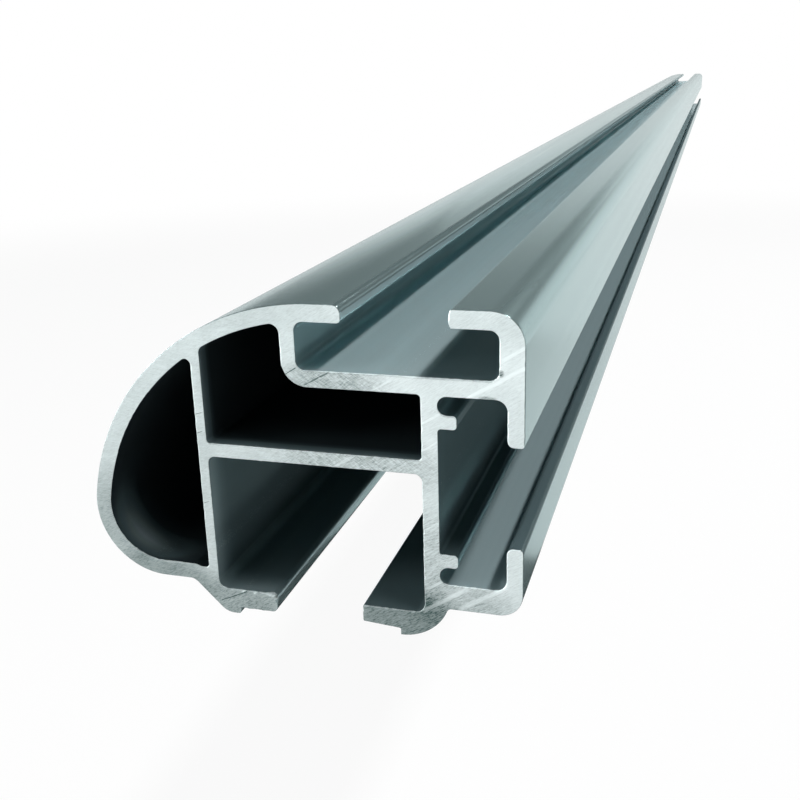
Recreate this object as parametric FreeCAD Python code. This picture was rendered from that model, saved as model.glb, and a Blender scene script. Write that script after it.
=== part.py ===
import FreeCAD, Part

import math
import os

# Roof rack crossbar: one aluminium extrusion, cut square at both ends.
# X runs across the bar with the rounded nose at -X, Y runs along it and Z is up.
# The origin is in the middle of the bar, on the surface that its two feet stand on. Sizes are in millimetres.

# The bar and its nose
bar_length = 1300.0
nose_depth = 16.45            # from the front of the nose to the front web
nose_skin = 2.2
chin_radius = 9.8             # lower front of the nose
underside_height = 4.65       # underside of nose and rear flange, above the feet's standing surface
chamber_relief = 0.3          # the nose chamber's floor falls this much beside the front web
relief_width = 2.2

# Upright and level webs
front_web = 1.35
rear_web = 2.1
middle_web = 1.85

# Top T-slot, centred under its mouth
top_slot_width = 25.8
top_slot_depth = 6.2
top_mouth = 13.5
top_lip = 2.3
front_lip_flat = 3.6          # level part of the front lip's top, up to its tip
slot_front_wall = 2.0
slot_rear_wall = 3.1
slot_floor = 2.2
lip_end_crown = 0.3           # the rear lip's end bulges this far

# Rear T-slot, with two nibs on its back wall
rear_slot_height = 25.4
rear_slot_depth = 6.25
rear_mouth = 13.5
rear_lip = 2.1
rear_ceiling = 2.3            # wall between the two T-slots
rear_flange = 3.45
nib_reach = 2.4
nib_thickness = 1.75
nib_groove = 2.45             # between a nib and the end of the slot

# Leg channel and the two feet beside its mouth
channel_width = 29.35
channel_height = 19.45
channel_mouth = 12.3
foot_thickness = 2.7
foot_rise = 0.95              # underside of a foot's land, above the standing surface
front_foot_land = 5.5         # from the front foot's tip to its pad
rear_foot_land = 5.2
rear_foot_taper = 0.4         # the rear foot thins by this much towards its tip
front_pad_width = 2.1
front_pad_slope = 45.0        # degrees
rear_pad_radius = 6.85

# Rounded corners of the section
rear_top_radius = 4.1
rear_bottom_radius = 3.0
top_slot_corner_radius = 1.2
rear_slot_corner_radius = 1.45
lip_top_radius = 1.05
lip_bottom_radius = 0.5
rear_lip_inner_radius = 0.85
rear_lip_outer_radius = 0.35
nib_radius = 0.45
chamber_top_radius = 1.2
chamber_step_radius = 3.45    # under the top slot's front corner
chamber_front_radius = 1.1    # between the front web and the nose's skin
chamber_corner_radius = 0.55
nose_apex_radius = 0.75
channel_top_radius = 1.0
foot_root_radius = 1.3
foot_tip_radius = 0.85
foot_edge_radius = 0.2
pad_radius = 2.6
pad_edge_radius = 0.45
pad_root_radius = 1.6
rear_pad_root_radius = 0.6

# Levels, from the standing surface up
foot_top = foot_rise + foot_thickness
middle_web_bottom = foot_top + channel_height
middle_web_top = middle_web_bottom + middle_web
rear_slot_bottom = underside_height + rear_flange
rear_slot_top = rear_slot_bottom + rear_slot_height
rear_slot_middle = rear_slot_bottom + rear_slot_height / 2
top_slot_bottom = rear_slot_top + rear_ceiling
top_slot_top = top_slot_bottom + top_slot_depth
section_height = top_slot_top + top_lip
chamber_ceiling = top_slot_bottom - slot_floor
nose_floor = underside_height + nose_skin

# Places across the bar, from the rear face forwards
webs_and_channel = rear_web + channel_width + front_web
section_width = rear_lip + rear_slot_depth + nib_reach + webs_and_channel + nose_depth
rear_face = section_width / 2
rear_lip_inside = rear_face - rear_lip
nib_tip = rear_lip_inside - rear_slot_depth
rear_web_back = nib_tip - nib_reach
rear_web_front = rear_web_back - rear_web
channel_front = rear_web_front - channel_width
front_web_front = channel_front - front_web
nose_front = -rear_face
top_slot_rear = rear_face - slot_rear_wall
top_slot_front = top_slot_rear - top_slot_width
top_slot_middle = top_slot_rear - top_slot_width / 2
front_lip_tip = top_slot_middle - top_mouth / 2
rear_lip_tip = top_slot_middle + top_mouth / 2
channel_middle = channel_front + channel_width / 2
front_foot_tip = channel_middle - channel_mouth / 2
rear_foot_tip = channel_middle + channel_mouth / 2

# The nose is two tangent arcs: a chin arc, and a crown arc that runs level into the front lip's top.
# The crown's radius is the one that touches the chin arc from outside.
crown_x = front_lip_tip - front_lip_flat
chin_x = nose_front + chin_radius
chin_z = underside_height + chin_radius
chin_run = crown_x - chin_x
chin_drop = section_height - chin_z
crown_radius = (chin_run**2 + chin_drop**2 - chin_radius**2) / (2 * (chin_drop - chin_radius))
crown_z = section_height - crown_radius
crown_end = 180 - math.degrees(math.atan2(chin_z - crown_z, chin_run))


def at(x, z):
    """A point of the cross-section, on the bar's near end."""
    return FreeCAD.Vector(x, -bar_length / 2, z)


def arc_about(x, z, radius, start, end):
    """Arc about the centre (x, z), between two angles in degrees, counted from +X towards +Z."""
    points = []
    for degrees in (start, (start + end) / 2, end):
        turn = math.radians(degrees)
        points.append(at(x + radius * math.cos(turn), z + radius * math.sin(turn)))
    return Part.Arc(*points).toShape()


def rounded_corner(before, corner, after, radius):
    """The arc that rounds a corner, no longer than half of the shorter side beside it."""
    back = before - corner
    ahead = after - corner
    half_angle = back.getAngle(ahead) / 2
    reach = min(radius / math.tan(half_angle), back.Length / 2, ahead.Length / 2)
    fitted = reach * math.tan(half_angle)
    inwards = (back.normalize() + ahead.normalize()).normalize()
    middle = corner + inwards * (reach / math.cos(half_angle) - fitted)
    return Part.Arc(corner + back * reach, middle, corner + ahead * reach)


def rounded_run(corners):
    """Edges of an open run of straight sides. A corner is (x, z, radius), and the two ends have radius 0."""
    points = [at(x, z) for x, z, _ in corners]
    edges = []
    start = points[0]
    for place in range(1, len(points) - 1):
        bend = rounded_corner(points[place - 1], points[place], points[place + 1], corners[place][2])
        if start.distanceToPoint(bend.StartPoint) > 1e-6:
            edges.append(Part.makeLine(start, bend.StartPoint))
        edges.append(bend.toShape())
        start = bend.EndPoint
    edges.append(Part.makeLine(start, points[-1]))
    return edges


def corner_under_crown(wall, side, radius):
    """Rounds the corner of a hollow between an upright wall and the skin's inner arc.

    side is 1 where the hollow is at +X of the wall, and -1 where it is at -X. Gives the arc from
    the wall to the skin, its level on the wall and its angle on the skin.
    """
    x = wall + side * radius
    z = crown_z + math.sqrt((crown_radius - nose_skin - radius)**2 - (x - crown_x)**2)
    wall_angle = 90 + side * 90
    skin_angle = math.degrees(math.atan2(z - crown_z, x - crown_x))
    return arc_about(x, z, radius, wall_angle, skin_angle), z, skin_angle


def top_slot_run():
    """From the front lip's top, round the T-slot, to the lower edge of the rear lip's end."""
    return rounded_run([
        (crown_x, section_height, 0),
        (front_lip_tip, section_height, lip_top_radius),
        (front_lip_tip, top_slot_top, lip_bottom_radius),
        (top_slot_front, top_slot_top, top_slot_corner_radius),
        (top_slot_front, top_slot_bottom, top_slot_corner_radius),
        (top_slot_rear, top_slot_bottom, top_slot_corner_radius),
        (top_slot_rear, top_slot_top, top_slot_corner_radius),
        (rear_lip_tip + lip_end_crown, top_slot_top, 0),
    ])


def rear_lip_end():
    """The crowned end of the rear lip."""
    edge = rear_lip_tip + lip_end_crown
    low = at(edge, top_slot_top)
    middle = at(rear_lip_tip, (top_slot_top + section_height) / 2)
    return Part.Arc(low, middle, at(edge, section_height)).toShape()


def rear_side_run():
    """From the rear lip's top, down the rear face and round the rear T-slot, to the rear pad's root."""
    mouth_top = rear_slot_middle + rear_mouth / 2
    mouth_bottom = rear_slot_middle - rear_mouth / 2
    upper_nib_top = rear_slot_top - nib_groove
    upper_nib_bottom = upper_nib_top - nib_thickness
    lower_nib_bottom = rear_slot_bottom + nib_groove
    lower_nib_top = lower_nib_bottom + nib_thickness
    groove_radius = nib_groove / 2
    root_x, _, _ = rear_pad_root()
    return rounded_run([
        (rear_lip_tip + lip_end_crown, section_height, 0),
        (rear_face, section_height, rear_top_radius),
        (rear_face, mouth_top, rear_lip_outer_radius),
        (rear_lip_inside, mouth_top, rear_lip_inner_radius),
        (rear_lip_inside, rear_slot_top, rear_slot_corner_radius),
        (rear_web_back, rear_slot_top, groove_radius),
        (rear_web_back, upper_nib_top, groove_radius),
        (nib_tip, upper_nib_top, nib_radius),
        (nib_tip, upper_nib_bottom, nib_radius),
        (rear_web_back, upper_nib_bottom, nib_radius),
        (rear_web_back, lower_nib_top, nib_radius),
        (nib_tip, lower_nib_top, nib_radius),
        (nib_tip, lower_nib_bottom, nib_radius),
        (rear_web_back, lower_nib_bottom, groove_radius),
        (rear_web_back, rear_slot_bottom, groove_radius),
        (rear_lip_inside, rear_slot_bottom, rear_slot_corner_radius),
        (rear_lip_inside, mouth_bottom, rear_lip_inner_radius),
        (rear_face, mouth_bottom, rear_lip_outer_radius),
        (rear_face, underside_height, rear_bottom_radius),
        (root_x, underside_height, 0),
    ])


def rear_pad_root():
    """Centre of the hollow arc between the rear pad and the flange, and its angle about the pad's centre."""
    pad_x = rear_foot_tip + rear_foot_land
    z = underside_height - rear_pad_root_radius
    x = pad_x + math.sqrt((rear_pad_radius + rear_pad_root_radius)**2 - (rear_pad_radius - z)**2)
    return x, z, math.degrees(math.atan2(z - rear_pad_radius, x - pad_x))


def rear_pad_arcs():
    """From the flange's underside, through the root arc and down the round pad, to its lowest line."""
    root_x, root_z, angle = rear_pad_root()
    pad_x = rear_foot_tip + rear_foot_land
    root = arc_about(root_x, root_z, rear_pad_root_radius, 90, 180 + angle)
    pad = arc_about(pad_x, rear_pad_radius, rear_pad_radius, angle, -90)
    return [root, pad]


def channel_run():
    """From the rear pad, round both feet and the leg channel between them, to the nose's underside."""
    rear_step = rear_foot_tip + rear_foot_land
    front_step = front_foot_tip - front_foot_land
    slope_foot = front_step - front_pad_width
    slope_top = slope_foot - underside_height / math.tan(math.radians(front_pad_slope))
    return rounded_run([
        (rear_step, 0, 0),
        (rear_step, foot_rise, foot_edge_radius),
        (rear_foot_tip, foot_rise + rear_foot_taper, foot_edge_radius),
        (rear_foot_tip, foot_top, foot_edge_radius),
        (rear_web_front, foot_top, foot_root_radius),
        (rear_web_front, middle_web_bottom, channel_top_radius),
        (channel_front, middle_web_bottom, channel_top_radius),
        (channel_front, foot_top, foot_root_radius),
        (front_foot_tip, foot_top, foot_tip_radius),
        (front_foot_tip, foot_rise, foot_tip_radius),
        (front_step, foot_rise, foot_edge_radius),
        (front_step, 0, pad_edge_radius),
        (slope_foot, 0, pad_radius),
        (slope_top, underside_height, pad_root_radius),
        (chin_x, underside_height, 0),
    ])


def outer_wire():
    """The section's outline, with its three open slots."""
    edges = top_slot_run() + [rear_lip_end()]
    edges += rear_side_run() + rear_pad_arcs() + channel_run()
    edges.append(arc_about(chin_x, chin_z, chin_radius, 270, crown_end))
    edges.append(arc_about(crown_x, crown_z, crown_radius, crown_end, 90))
    return Part.Wire(edges)


def middle_chamber_wire():
    """The closed L-shaped chamber that steps under the top T-slot."""
    step = top_slot_front - slot_front_wall
    rear_corner, rear_level, rear_angle = corner_under_crown(step, -1, chamber_top_radius)
    front_corner, front_level, front_angle = corner_under_crown(channel_front, 1, chamber_front_radius)
    walls = rounded_run([
        (step, rear_level, 0),
        (step, chamber_ceiling, chamber_step_radius),
        (rear_web_front, chamber_ceiling, chamber_corner_radius),
        (rear_web_front, middle_web_top, chamber_corner_radius),
        (channel_front, middle_web_top, chamber_corner_radius),
        (channel_front, front_level, 0),
    ])
    skin = arc_about(crown_x, crown_z, crown_radius - nose_skin, front_angle, rear_angle)
    return Part.Wire(walls + [front_corner, skin, rear_corner])


def nose_chamber_wire():
    """The closed chamber inside the nose."""
    apex, apex_level, apex_angle = corner_under_crown(front_web_front, -1, nose_apex_radius)
    relief_start = front_web_front - relief_width
    relief_end = relief_start + relief_width / 2
    walls = rounded_run([
        (chin_x, nose_floor, 0),
        (relief_start, nose_floor, relief_width / 2),
        (relief_end, nose_floor - chamber_relief, relief_width / 2),
        (front_web_front, nose_floor - chamber_relief, chamber_corner_radius),
        (front_web_front, apex_level, 0),
    ])
    crown = arc_about(crown_x, crown_z, crown_radius - nose_skin, apex_angle, crown_end)
    chin = arc_about(chin_x, chin_z, chin_radius - nose_skin, crown_end, 270)
    return Part.Wire(walls + [apex, crown, chin])


def crossbar_extrusion():
    """The section, drawn out along the bar."""
    wires = [outer_wire(), middle_chamber_wire(), nose_chamber_wire()]
    section = Part.makeFace(wires, "Part::FaceMakerBullseye")
    return section.extrude(FreeCAD.Vector(0, bar_length, 0))


os.makedirs("parts", exist_ok=True)
bar = crossbar_extrusion()
bar.exportStep("parts/crossbar_extrusion.step")
print(f"section {section_width:.2f} x {section_height:.2f} mm, crown radius {crown_radius:.2f} mm")
print(f"solids {len(bar.Solids)}, valid {bar.isValid()}, metal in the section {bar.Volume / bar_length:.1f} mm2")
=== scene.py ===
# %% [markdown]
# A roof rack crossbar is one aluminium extrusion: hot metal pressed through a steel die, drawn out
# straight, and sawn to length. So its whole form is a cross-section and a length.
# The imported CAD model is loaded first. It stays fixed, and everything below is placed by its box.

# %% Load the frame
import math

import bpy
import numpy as np
from mathutils.geometry import delaunay_2d_cdt
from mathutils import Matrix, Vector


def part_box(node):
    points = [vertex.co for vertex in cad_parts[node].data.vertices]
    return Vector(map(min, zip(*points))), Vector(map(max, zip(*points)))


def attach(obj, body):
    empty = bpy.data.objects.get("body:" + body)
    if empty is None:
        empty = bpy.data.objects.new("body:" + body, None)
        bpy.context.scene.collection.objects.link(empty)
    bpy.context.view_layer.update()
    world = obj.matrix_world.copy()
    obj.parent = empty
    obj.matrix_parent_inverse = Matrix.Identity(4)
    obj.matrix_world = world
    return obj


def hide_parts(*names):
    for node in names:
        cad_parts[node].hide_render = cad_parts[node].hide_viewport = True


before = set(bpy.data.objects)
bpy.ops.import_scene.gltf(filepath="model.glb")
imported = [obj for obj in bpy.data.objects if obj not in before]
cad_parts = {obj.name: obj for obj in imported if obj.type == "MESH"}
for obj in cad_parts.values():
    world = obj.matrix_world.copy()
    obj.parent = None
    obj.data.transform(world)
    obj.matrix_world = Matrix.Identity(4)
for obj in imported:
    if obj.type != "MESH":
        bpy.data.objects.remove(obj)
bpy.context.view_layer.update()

mm = 0.001
box_low, box_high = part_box("crossbar_extrusion")
near_end = box_low.y
far_end = box_high.y
rear_face = box_high.x
nose_front = box_low.x
section_height = box_high.z
print("bar length in metres:", round(far_end - near_end, 4))
print("section in metres:", round(rear_face - nose_front, 4), "by", round(section_height, 4))

# %% [markdown]
# Wall thicknesses, slot widths and radii each have a name, and the section's places and levels are
# added up from them. X runs from the rounded nose to the flat rear face, Z is up, and the bar stands
# on the pads under its two feet.

# %% Sizes of the section
nose_depth = 16.45 * mm
nose_skin = 2.2 * mm
chin_radius = 9.8 * mm
underside_height = 4.65 * mm
chamber_relief = 0.3 * mm
relief_width = 2.2 * mm
front_web = 1.35 * mm
rear_web = 2.1 * mm
middle_web = 1.85 * mm
slot_front_wall = 2.0 * mm
slot_rear_wall = 3.1 * mm
slot_floor = 2.2 * mm
top_slot_width = 25.8 * mm
top_mouth = 13.5 * mm
top_lip = 2.3 * mm
front_lip_flat = 3.6 * mm
lip_end_crown = 0.3 * mm
rear_slot_height = 25.4 * mm
rear_mouth = 13.5 * mm
rear_lip = 2.1 * mm
rear_ceiling = 2.3 * mm
rear_flange = 3.45 * mm
nib_reach = 2.4 * mm
nib_thickness = 1.75 * mm
nib_groove = 2.45 * mm
channel_width = 29.35 * mm
channel_height = 19.45 * mm
channel_mouth = 12.3 * mm
foot_thickness = 2.7 * mm
foot_rise = 0.95 * mm
front_foot_land = 5.5 * mm
rear_foot_land = 5.2 * mm
rear_foot_taper = 0.4 * mm
front_pad_width = 2.1 * mm
front_pad_slope = math.radians(45)
rear_pad_radius = 6.85 * mm

# %% Radii of the section's corners
rear_top_radius = 4.1 * mm
rear_bottom_radius = 3.0 * mm
top_slot_corner_radius = 1.2 * mm
rear_slot_corner_radius = 1.45 * mm
lip_top_radius = 1.05 * mm
lip_bottom_radius = 0.5 * mm
rear_lip_inner_radius = 0.85 * mm
rear_lip_outer_radius = 0.35 * mm
nib_radius = 0.45 * mm
groove_radius = nib_groove / 2
chamber_top_radius = 1.2 * mm
chamber_step_radius = 3.45 * mm
chamber_front_radius = 1.1 * mm
chamber_corner_radius = 0.55 * mm
nose_apex_radius = 0.75 * mm
channel_top_radius = 1.0 * mm
foot_root_radius = 1.3 * mm
foot_tip_radius = 0.85 * mm
foot_edge_radius = 0.2 * mm
pad_radius = 2.6 * mm
pad_edge_radius = 0.45 * mm
pad_root_radius = 1.6 * mm
rear_pad_root_radius = 0.6 * mm

# %% Levels up the section and places across it
foot_top = foot_rise + foot_thickness
middle_web_bottom = foot_top + channel_height
middle_web_top = middle_web_bottom + middle_web
rear_slot_bottom = underside_height + rear_flange
rear_slot_top = rear_slot_bottom + rear_slot_height
rear_slot_middle = (rear_slot_bottom + rear_slot_top) / 2
top_slot_bottom = rear_slot_top + rear_ceiling
top_slot_top = section_height - top_lip
chamber_ceiling = top_slot_bottom - slot_floor
nose_floor = underside_height + nose_skin

front_web_front = nose_front + nose_depth
channel_front = front_web_front + front_web
rear_web_front = channel_front + channel_width
rear_web_back = rear_web_front + rear_web
nib_tip = rear_web_back + nib_reach
rear_lip_inside = rear_face - rear_lip
top_slot_rear = rear_face - slot_rear_wall
top_slot_front = top_slot_rear - top_slot_width
front_lip_tip = top_slot_rear - (top_slot_width + top_mouth) / 2
rear_lip_tip = front_lip_tip + top_mouth
front_foot_tip = channel_front + (channel_width - channel_mouth) / 2
rear_foot_tip = front_foot_tip + channel_mouth
rear_pad_x = rear_foot_tip + rear_foot_land
print("rear slot depth in mm:", round((rear_lip_inside - nib_tip) / mm, 2))

# %% [markdown]
# The nose is an airfoil of two arcs that touch: a small chin below, and one long crown that runs
# level into the top. The crown's radius follows from the chin's. With "run" and "drop" as the
# distances between the chin's centre and the crown's top, the circle that touches both has the radius
# (run squared + drop squared - chin squared) / (2 times (drop - chin)).

# %% The two arcs of the nose
crown_x = front_lip_tip - front_lip_flat
chin_x = nose_front + chin_radius
chin_z = underside_height + chin_radius
chin_run = crown_x - chin_x
chin_drop = section_height - chin_z
crown_radius = (chin_run**2 + chin_drop**2 - chin_radius**2) / (2 * (chin_drop - chin_radius))
crown_z = section_height - crown_radius
crown_end = 180 - math.degrees(math.atan2(chin_z - crown_z, chin_run))
print("crown radius in mm:", round(crown_radius / mm, 2))

# %% [markdown]
# A Bezier curve with a depth could draw this outline, but its points would be out of reach. Here
# every arc and straight run is an array of points, so that the edges can later be worn and burred
# point by point.

# %% Arcs and rounded runs as arrays of points
arc_steps = 12


def arc(x, z, radius, start, end, steps=arc_steps):
    """Centre plus radius times (cosine, sine) of a turn that goes evenly from start to end, in degrees."""
    turn = np.radians(np.linspace(start, end, steps + 1))
    return np.column_stack([x + radius * np.cos(turn), z + radius * np.sin(turn)])


def rounded_run(corners):
    """Points of straight sides with rounded corners. A corner is (x, z, radius).

    The arc touches both sides at a reach of radius / tan(half the corner's angle). Its points are
    its two ends as seen from its centre, mixed with the weights sin((1 - t) w) / sin w and
    sin(t w) / sin w, where w is the angle that the arc turns through and t goes from 0 to 1.
    """
    table = np.array(corners)
    place = table[:, :2]
    back = place[:-2] - place[1:-1]
    ahead = place[2:] - place[1:-1]
    back_length = np.linalg.norm(back, axis=1, keepdims=True)
    ahead_length = np.linalg.norm(ahead, axis=1, keepdims=True)
    back = back / back_length
    ahead = ahead / ahead_length
    half = np.arccos(np.sum(back * ahead, axis=1, keepdims=True)) / 2
    reach = np.minimum(table[1:-1, 2:] / np.tan(half), np.minimum(back_length, ahead_length) / 2)
    fitted = reach * np.tan(half)
    inwards = (back + ahead) / np.linalg.norm(back + ahead, axis=1, keepdims=True)
    centre = place[1:-1] + inwards * fitted / np.sin(half)
    first = place[1:-1] + back * reach - centre
    last = place[1:-1] + ahead * reach - centre
    turn = math.pi - 2 * half[:, :, None]
    t = np.linspace(0, 1, arc_steps + 1)[None, :, None]
    mixed = first[:, None] * np.sin((1 - t) * turn) + last[:, None] * np.sin(t * turn)
    bends = centre[:, None] + mixed / np.sin(turn)
    return np.vstack([place[:1], bends.reshape(-1, 2), place[-1:]])


# %% [markdown]
# The open outline goes round the outside and in and out of the three T-shaped spaces: the top slot
# and the rear slot, where bolt heads slide in, and the channel underneath for the rack's legs.

# %% The top slot and its rear lip
top_slot_run = rounded_run([
    (crown_x, section_height, 0),
    (front_lip_tip, section_height, lip_top_radius),
    (front_lip_tip, top_slot_top, lip_bottom_radius),
    (top_slot_front, top_slot_top, top_slot_corner_radius),
    (top_slot_front, top_slot_bottom, top_slot_corner_radius),
    (top_slot_rear, top_slot_bottom, top_slot_corner_radius),
    (top_slot_rear, top_slot_top, top_slot_corner_radius),
    (rear_lip_tip + lip_end_crown, top_slot_top, 0),
])
lip_half = top_lip / 2
lip_end_radius = (lip_half**2 + lip_end_crown**2) / (2 * lip_end_crown)
lip_end_turn = math.degrees(math.asin(lip_half / lip_end_radius))
rear_lip_end = arc(rear_lip_tip + lip_end_radius, section_height - lip_half, lip_end_radius,
                   180 + lip_end_turn, 180 - lip_end_turn)
print("points round the top slot:", len(top_slot_run) + len(rear_lip_end))

# %% The rear slot, its two nibs and the pad under the rear foot
mouth_top = rear_slot_middle + rear_mouth / 2
mouth_bottom = rear_slot_middle - rear_mouth / 2
upper_nib_top = rear_slot_top - nib_groove
upper_nib_bottom = upper_nib_top - nib_thickness
lower_nib_bottom = rear_slot_bottom + nib_groove
lower_nib_top = lower_nib_bottom + nib_thickness
pad_root_z = underside_height - rear_pad_root_radius
pad_root_reach = rear_pad_radius + rear_pad_root_radius
pad_root_x = rear_pad_x + math.sqrt(pad_root_reach**2 - (rear_pad_radius - pad_root_z)**2)
pad_root_turn = math.degrees(math.atan2(pad_root_z - rear_pad_radius, pad_root_x - rear_pad_x))
rear_side_run = rounded_run([
    (rear_lip_tip + lip_end_crown, section_height, 0),
    (rear_face, section_height, rear_top_radius),
    (rear_face, mouth_top, rear_lip_outer_radius),
    (rear_lip_inside, mouth_top, rear_lip_inner_radius),
    (rear_lip_inside, rear_slot_top, rear_slot_corner_radius),
    (rear_web_back, rear_slot_top, groove_radius),
    (rear_web_back, upper_nib_top, groove_radius),
    (nib_tip, upper_nib_top, nib_radius),
    (nib_tip, upper_nib_bottom, nib_radius),
    (rear_web_back, upper_nib_bottom, nib_radius),
    (rear_web_back, lower_nib_top, nib_radius),
    (nib_tip, lower_nib_top, nib_radius),
    (nib_tip, lower_nib_bottom, nib_radius),
    (rear_web_back, lower_nib_bottom, groove_radius),
    (rear_web_back, rear_slot_bottom, groove_radius),
    (rear_lip_inside, rear_slot_bottom, rear_slot_corner_radius),
    (rear_lip_inside, mouth_bottom, rear_lip_inner_radius),
    (rear_face, mouth_bottom, rear_lip_outer_radius),
    (rear_face, underside_height, rear_bottom_radius),
    (pad_root_x, underside_height, 0),
])
rear_pad_root = arc(pad_root_x, pad_root_z, rear_pad_root_radius, 90, 180 + pad_root_turn)
rear_pad = arc(rear_pad_x, rear_pad_radius, rear_pad_radius, pad_root_turn, -90)
print("points round the rear slot and pad:", len(rear_side_run) + len(rear_pad_root) + len(rear_pad))

# %% The leg channel between the two feet
front_step = front_foot_tip - front_foot_land
slope_foot = front_step - front_pad_width
slope_top = slope_foot - underside_height / math.tan(front_pad_slope)
channel_run = rounded_run([
    (rear_pad_x, 0, 0),
    (rear_pad_x, foot_rise, foot_edge_radius),
    (rear_foot_tip, foot_rise + rear_foot_taper, foot_edge_radius),
    (rear_foot_tip, foot_top, foot_edge_radius),
    (rear_web_front, foot_top, foot_root_radius),
    (rear_web_front, middle_web_bottom, channel_top_radius),
    (channel_front, middle_web_bottom, channel_top_radius),
    (channel_front, foot_top, foot_root_radius),
    (front_foot_tip, foot_top, foot_tip_radius),
    (front_foot_tip, foot_rise, foot_tip_radius),
    (front_step, foot_rise, foot_edge_radius),
    (front_step, 0, pad_edge_radius),
    (slope_foot, 0, pad_radius),
    (slope_top, underside_height, pad_root_radius),
    (chin_x, underside_height, 0),
])
nose_steps = 90
chin = arc(chin_x, chin_z, chin_radius, 270, crown_end, nose_steps)
crown = arc(crown_x, crown_z, crown_radius, crown_end, 90, nose_steps)
outline = np.vstack([top_slot_run, rear_lip_end, rear_side_run, rear_pad_root, rear_pad,
                     channel_run, chin, crown])
print("points in the open outline:", len(outline))

# %% [markdown]
# Two chambers are closed all round: one inside the nose, and an L-shaped one that steps down under
# the top slot. Their outer sides follow the nose's arcs, a skin's thickness further in. Where a web
# meets that skin, a small arc touches both, and its centre lies on a circle about the crown's centre
# whose radius is the skin's inner radius less the small one.

# %% The two closed chambers


def corner_under_crown(wall, side, radius):
    """Centre of the arc between an upright wall and the skin, and its angle on the skin in degrees."""
    x = wall + side * radius
    z = crown_z + math.sqrt((crown_radius - nose_skin - radius)**2 - (x - crown_x)**2)
    return x, z, math.degrees(math.atan2(z - crown_z, x - crown_x))


slot_step = top_slot_front - slot_front_wall
step_x, step_z, step_turn = corner_under_crown(slot_step, -1, chamber_top_radius)
web_x, web_z, web_turn = corner_under_crown(channel_front, 1, chamber_front_radius)
apex_x, apex_z, apex_turn = corner_under_crown(front_web_front, -1, nose_apex_radius)
middle_chamber = np.vstack([
    rounded_run([
        (slot_step, step_z, 0),
        (slot_step, chamber_ceiling, chamber_step_radius),
        (rear_web_front, chamber_ceiling, chamber_corner_radius),
        (rear_web_front, middle_web_top, chamber_corner_radius),
        (channel_front, middle_web_top, chamber_corner_radius),
        (channel_front, web_z, 0),
    ]),
    arc(web_x, web_z, chamber_front_radius, 180, web_turn),
    arc(crown_x, crown_z, crown_radius - nose_skin, web_turn, step_turn, nose_steps),
    arc(step_x, step_z, chamber_top_radius, step_turn, 0),
])
relief_start = front_web_front - relief_width
nose_chamber = np.vstack([
    rounded_run([
        (chin_x, nose_floor, 0),
        (relief_start, nose_floor, relief_width / 2),
        (relief_start + relief_width / 2, nose_floor - chamber_relief, relief_width / 2),
        (front_web_front, nose_floor - chamber_relief, chamber_corner_radius),
        (front_web_front, apex_z, 0),
    ]),
    arc(apex_x, apex_z, nose_apex_radius, 0, apex_turn),
    arc(crown_x, crown_z, crown_radius - nose_skin, apex_turn, crown_end, nose_steps),
    arc(chin_x, chin_z, chin_radius - nose_skin, crown_end, 270, nose_steps),
])
print("points in the chambers:", len(middle_chamber), len(nose_chamber))

# %% [markdown]
# The finest teeth along a sawn edge are about half a millimetre long, so each loop first gets points
# that are closer together. The loops all run with the metal on their left, which makes the direction
# out of the metal the same turn of the direction of travel everywhere.

# %% Even out the loops
point_spacing = 0.28 * mm
same_point = 1e-8


def evened(loop, metal_inside):
    """A closed loop with long sides divided, and with the metal on its left.

    Each side gets as many even parts as keep them under the spacing. The area, half the sum of x
    times next z less next x times z, is positive where a loop runs anticlockwise, which is what puts
    metal inside it on the left.
    """
    step = np.linalg.norm(loop - np.roll(loop, -1, axis=0), axis=1)
    loop = loop[step > same_point]
    ahead = np.roll(loop, -1, axis=0)
    area = np.sum(loop[:, 0] * ahead[:, 1] - ahead[:, 0] * loop[:, 1]) / 2
    if (area > 0) != metal_inside:
        loop = loop[::-1]
        ahead = np.roll(loop, -1, axis=0)
    parts = np.ceil(np.linalg.norm(ahead - loop, axis=1) / point_spacing).astype(int)
    side = np.repeat(np.arange(len(loop)), parts)
    count = np.arange(len(side)) - np.repeat(np.cumsum(parts) - parts, parts)
    share = (count / parts[side])[:, None]
    return loop[side] * (1 - share) + ahead[side] * share


def away_from_metal(loop):
    """Unit normals of a loop: the travel from the point before to the point after, turned right."""
    travel = np.roll(loop, -1, axis=0) - np.roll(loop, 1, axis=0)
    right = np.column_stack([travel[:, 1], -travel[:, 0]])
    return right / np.linalg.norm(right, axis=1, keepdims=True)


loops = [evened(outline, True), evened(middle_chamber, False), evened(nose_chamber, False)]
print("points in the evened loops:", [len(loop) for loop in loops])

# %% [markdown]
# A saw blade leaves every edge of the cut a little rounded, and drags thin burrs of metal over some
# of them. The raggedness along a loop is a sum of sine waves with fixed random phases, whole numbers
# of waves in the loop, so that it closes on itself. A few places are rougher, as on the real bar: the
# front web's edge, the end of the front foot and the nose's lower inner edge. The edges of the hollows
# are worn the most, so the first helper tells from the section's own places what is outside.

# %% Where the outside is
skin_margin = 0.02 * mm


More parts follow.
